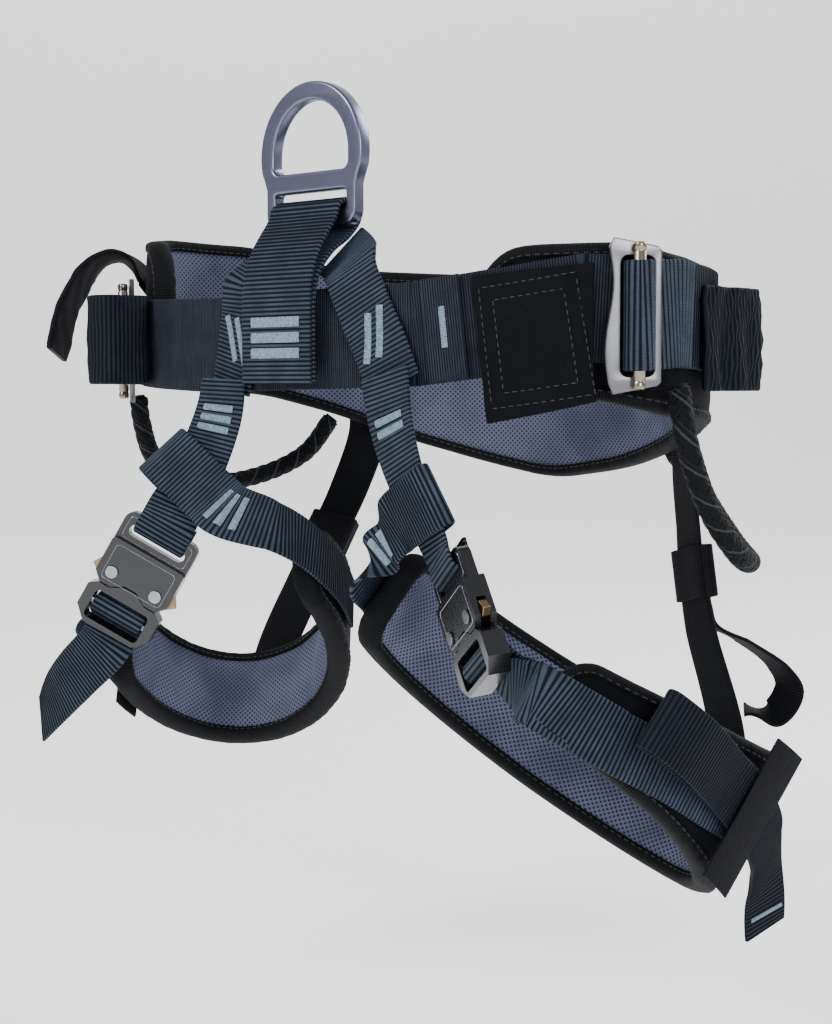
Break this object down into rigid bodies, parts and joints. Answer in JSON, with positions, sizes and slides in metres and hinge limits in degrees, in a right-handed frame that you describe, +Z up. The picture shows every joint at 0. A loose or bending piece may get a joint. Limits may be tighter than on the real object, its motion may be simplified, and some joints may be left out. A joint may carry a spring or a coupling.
{
  "type": "tree climbing harness",
  "caption": "Sit harness for tree work: padded waist belt with a front tie-in ring, adjusters and gear loops, and padded leg loops with quick-connect buckles.",
  "frame": {"origin": "the middle of the waist opening, at the height of the belt webbing's middle at the front", "axes": "+Z up through the waist opening, the wearer faces -Y, +X to the wearer's left"},
  "size_m": [0.3899, 0.2511, 0.39],
  "materials": {
    "slate_webbing": "dark slate-blue woven webbing with pale ribs and pale tacks",
    "black_fabric": "smooth black pack cloth",
    "mesh_lining": "blue-grey spacer mesh with staggered holes",
    "edge_binding": "black ribbed binding tape",
    "elastic_webbing": "black ribbed narrow webbing",
    "gear_cord": "black braided cord with grey flecks",
    "ring_metal": "satin lavender-grey anodised",
    "adjuster_steel": "pewter-coloured plated steel",
    "adjuster_bar": "worn brassy silver",
    "buckle_black": "glossy black coating, worn bright on the edges",
    "bright_steel": "bright plated steel",
    "bronze_lever": "bronze-coloured coating"
  },
  "bodies": {
    "waist_belt": {"waist_pad_shell": "black_fabric", "waist_pad_foam": "black_fabric", "waist_pad_lining": "mesh_lining", "waist_pad_binding": "edge_binding", "rear_belt_webbing": "slate_webbing", "front_belt_webbing": "slate_webbing", "belt_lap_webbing": "slate_webbing", "side_panel": "black_fabric", "belt_tail_roll_L": "slate_webbing", "belt_tail_roll_R": "slate_webbing", "id_tab": "elastic_webbing", "gear_loop_R": "gear_cord", "gear_loop_L": "gear_cord", "centre_strap": "slate_webbing", "yoke_strap_R": "slate_webbing", "yoke_strap_L": "slate_webbing"},
    "tie_in_ring_body": {"tie_in_ring": "ring_metal"},
    "adjuster_R": {"adjuster_frame_R": "adjuster_steel", "adjuster_bar_R": "adjuster_bar"},
    "leg_loop_R": {"leg_pad_shell_R": "black_fabric", "leg_pad_foam_R": "black_fabric", "leg_pad_lining_R": "mesh_lining", "leg_pad_binding_R": "edge_binding", "buckle_body_R": "buckle_black", "buckle_spring_R": "bright_steel", "buckle_rivet_inner_R": "bright_steel", "buckle_rivet_outer_R": "bright_steel", "leg_riser_R": "slate_webbing", "leg_strap_inner_R": "slate_webbing", "leg_strap_outer_R": "slate_webbing", "leg_elastic_R": "elastic_webbing", "rear_riser_R": "elastic_webbing", "riser_keeper_R": "elastic_webbing", "riser_tail_R": "elastic_webbing"},
    "tongue_R": {"buckle_tongue_R": "buckle_black", "tongue_bar_R": "bright_steel"},
    "lever_inner_R": {"release_lever_inner_R": "bronze_lever"},
    "lever_outer_R": {"release_lever_outer_R": "bronze_lever"},
    "adjuster_L": {"adjuster_frame_L": "adjuster_steel", "adjuster_bar_L": "adjuster_bar"},
    "leg_loop_L": {"leg_pad_shell_L": "black_fabric", "leg_pad_foam_L": "black_fabric", "leg_pad_lining_L": "mesh_lining", "leg_pad_binding_L": "edge_binding", "buckle_body_L": "buckle_black", "buckle_spring_L": "bright_steel", "buckle_rivet_inner_L": "bright_steel", "buckle_rivet_outer_L": "bright_steel", "leg_riser_L": "slate_webbing", "leg_strap_inner_L": "slate_webbing", "leg_strap_outer_L": "slate_webbing", "leg_elastic_L": "elastic_webbing", "rear_riser_L": "elastic_webbing", "riser_keeper_L": "elastic_webbing", "riser_tail_L": "elastic_webbing", "leg_strap_tail_L": "slate_webbing"},
    "tongue_L": {"buckle_tongue_L": "buckle_black", "tongue_bar_L": "bright_steel"},
    "lever_inner_L": {"release_lever_inner_L": "bronze_lever"},
    "lever_outer_L": {"release_lever_outer_L": "bronze_lever"}
  },
  "joints": [
    {"name": "ring_tip", "type": "hinge", "parent": "waist_belt", "child": "tie_in_ring_body", "pos_m": [0, -0.047, 0.054], "axis": [1, 0, 0], "range_deg": [-85, 85]},
    {"name": "adjuster_tilt_R", "type": "hinge", "parent": "waist_belt", "child": "adjuster_R", "pos_m": [-0.15774, -0.03472, 0.001], "axis": [0, 0, 1], "range_deg": [-2, 2]},
    {"name": "leg_swing_R", "type": "hinge", "parent": "waist_belt", "child": "leg_loop_R", "pos_m": [-0.042, -0.0645, -0.022], "axis": [1, 0, 0], "range_deg": [-20, 0], "stiffness_Nm_per_rad": 0.6, "springref_deg": 25.78, "deforming": ["leg_riser_R", "rear_riser_R", "riser_tail_R", "riser_keeper_R"]},
    {"name": "tongue_slide_R", "type": "slide", "parent": "leg_loop_R", "child": "tongue_R", "axis": [-0.4192, -0.2778, -0.8644], "range_m": [0, 0.028], "deforming": ["leg_strap_outer_R"]},
    {"name": "lever_inner_press_R", "type": "hinge", "parent": "leg_loop_R", "child": "lever_inner_R", "pos_m": [-0.05632, -0.09552, -0.1198], "axis": [0.6215, -0.7818, -0.0501], "range_deg": [0, 8], "stiffness_Nm_per_rad": 0.02, "springref_deg": -11.46, "deforming": ["buckle_spring_R"]},
    {"name": "lever_outer_press_R", "type": "hinge", "parent": "leg_loop_R", "child": "lever_outer_R", "pos_m": [-0.07168, -0.10848, -0.1082], "axis": [-0.6215, 0.7818, 0.0501], "range_deg": [0, 8], "stiffness_Nm_per_rad": 0.02, "springref_deg": -11.46, "deforming": ["buckle_spring_R"]},
    {"name": "adjuster_tilt_L", "type": "hinge", "parent": "waist_belt", "child": "adjuster_L", "pos_m": [0.16783, -0.02523, 0.0063], "axis": [0, 0, 1], "range_deg": [-2, 2]},
    {"name": "leg_swing_L", "type": "hinge", "parent": "waist_belt", "child": "leg_loop_L", "pos_m": [0.061, -0.0625, -0.02], "axis": [1, 0, 0], "range_deg": [-20, 0], "stiffness_Nm_per_rad": 0.6, "springref_deg": 25.78, "deforming": ["leg_riser_L", "rear_riser_L", "riser_tail_L", "riser_keeper_L"]},
    {"name": "tongue_slide_L", "type": "slide", "parent": "leg_loop_L", "child": "tongue_L", "axis": [0.5015, -0.1175, -0.8571], "range_m": [0, 0.028], "deforming": ["leg_strap_outer_L"]},
    {"name": "lever_inner_press_L", "type": "hinge", "parent": "leg_loop_L", "child": "lever_inner_L", "pos_m": [0.119, -0.06854, -0.11619], "axis": [-0.4165, -0.9011, -0.1201], "range_deg": [0, 8], "stiffness_Nm_per_rad": 0.02, "springref_deg": -11.46, "deforming": ["buckle_spring_L"]},
    {"name": "lever_outer_press_L", "type": "hinge", "parent": "leg_loop_L", "child": "lever_outer_L", "pos_m": [0.1014, -0.05886, -0.12781], "axis": [0.4165, 0.9011, 0.1201], "range_deg": [0, 8], "stiffness_Nm_per_rad": 0.02, "springref_deg": -11.46, "deforming": ["buckle_spring_L"]}
  ]
}
